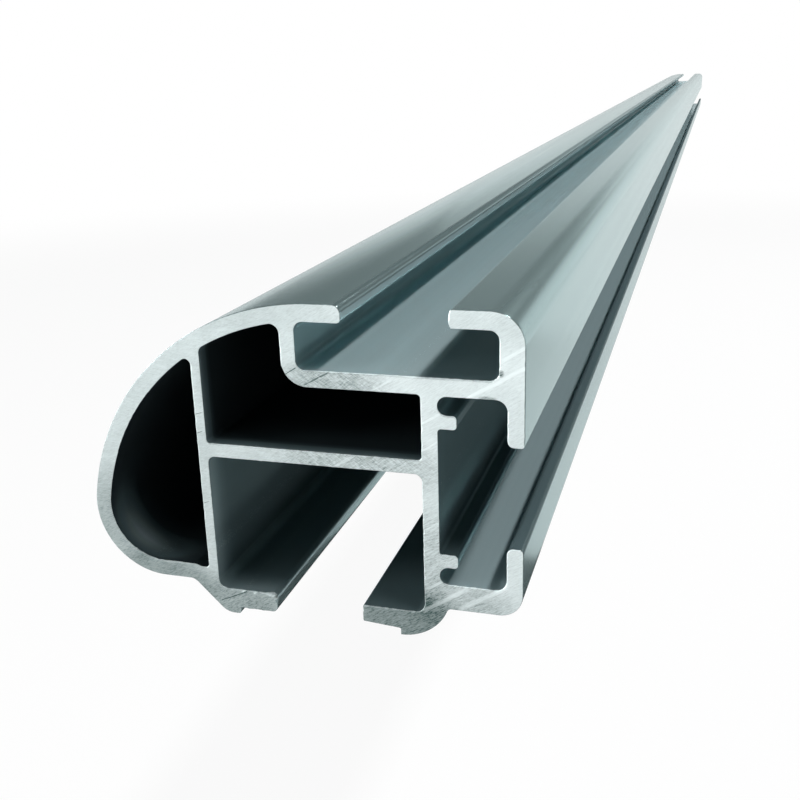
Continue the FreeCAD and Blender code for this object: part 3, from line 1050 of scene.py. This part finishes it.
black = (0.02, 0.024, 0.025)
card_level = floor_level + 2 * mm
cards = {"right_card": (0.2, 0.36, 0.3, 0.9), "near_card": (-0.25, 0.25, -0.1, 0.41)}
card_material, _, _ = dull_material("black_card", black)
for name, (left, right, near, far) in cards.items():
    put_up(name, level_sheet(left, right, near_end + near, near_end + far, card_level), card_material)
print("black cards:", list(cards))

# %% A black flag at the left, which fades out to its right
flag_left, flag_right = (-1.06, near_end + 1.06), (-0.3, near_end + 1.595)
flag_top = 0.35
fade_start, fade_end, fade_lean = -0.87, -0.42, 0.5
flag_material, surface, tree = dull_material("fading_flag", black)
place = tree.node("ShaderNodeTexCoord", output="Object")
clear = tree.node("ShaderNodeBsdfTransparent", output="BSDF")
faded = (axis(place, "X") - fade_lean * axis(place, "Z")).smooth(fade_start, fade_end)
show(tree.node("ShaderNodeMixShader", {}, {0: faded, 1: surface, 2: clear}))
put_up("left_flag", upright_sheet(flag_left, flag_right, 0, flag_top), flag_material)
print("flag fades over", round(fade_end - fade_start, 3), "m")

# %% A white card far behind, from a little over the horizon up into the dark
far_left, far_right = -2.3, 1.0
far_low, far_high = 0.79, 1.4
far_y = near_end + 9.0
white_material, _, tree = new_material("white_card", {})
show(tree.node("ShaderNodeEmission", {}, {"Strength": 1}, output="Emission"))
put_up("far_card", upright_sheet((far_left, far_y), (far_right, far_y), far_low, far_high), white_material)
print("white card's width in metres:", round(far_right - far_left, 2))

# %% [markdown]
# The lamps are plain soft panels. A long strip over the bar leans to the rear side and gives the
# light on the top and in the slots. Two panels in front light the cut face and the rims of its edges,
# and one to the left gives the nose its sheen. A panel's power is pi times its radiance and area.

# %% Lamps


def panel_lamp(name, place, turn, width, length, radiance):
    """A rectangular lamp at a place, turned by three angles, that the camera doesn't see."""
    lamp = bpy.data.lights.new(name, "AREA")
    lamp.shape = "RECTANGLE"
    lamp.size = width
    lamp.size_y = length
    lamp.energy = radiance * math.pi * width * length
    holder = put_in_scene(name, lamp)
    holder.location = place
    holder.rotation_euler = turn
    holder.visible_camera = False


def front_panel(name, azimuth, elevation, distance, width, height, radiance):
    """A panel that faces the near end. Azimuth 0 is along the bar, and 90 is on its rear side."""
    turn, tilt = math.radians(azimuth), math.radians(elevation)
    level = distance * math.cos(tilt)
    place = (level * math.sin(turn), near_end + level * math.cos(turn),
             section_height / 2 + distance * math.sin(tilt))
    facing = (math.radians(90) - tilt, 0, math.radians(180) - turn)
    panel_lamp(name, place, facing, width, height, radiance)


key_distance = 0.9
key_place = (key_distance * math.sin(key_lean), 0, section_height / 2 + key_distance * math.cos(key_lean))
panel_lamp("key_strip", key_place, (0, key_lean, 0), width=0.07, length=1.8, radiance=41)
# each panel: azimuth, elevation, distance, width, height and radiance
front_panels = {
    "left_strip": (-115, 8, 0.8, 0.25, 0.5, 12),
    "front_softbox": (-165, 4, 1.0, 0.8, 0.4, 1.1),
    "rim_softbox": (-150, 57, 1.2, 0.5, 0.5, 1.5),
}
for name, sizes in front_panels.items():
    front_panel(name, *sizes)

# %% [markdown]
# The photograph was taken from close by: 13 cm from the cut face, a little above and to the rear
# side. Its three vanishing directions and the section's real size give the lens and the place.

# %% Camera
camera_place = (49.4 * mm, near_end - 114.43 * mm, 72.29 * mm)
camera_turn = (71.696, 1.581, 16.384)
lens_mm = 46.4
camera = bpy.data.cameras.new("photo_camera")
camera.lens = lens_mm
camera.sensor_width = 36
camera.clip_start = 0.01
camera.clip_end = 50
holder = put_in_scene("photo_camera", camera)
holder.location = camera_place
holder.rotation_euler = [math.radians(turn) for turn in camera_turn]
bpy.context.scene.camera = holder
bpy.context.scene.view_settings.view_transform = "Standard"
print("camera at", [round(value, 4) for value in camera_place])
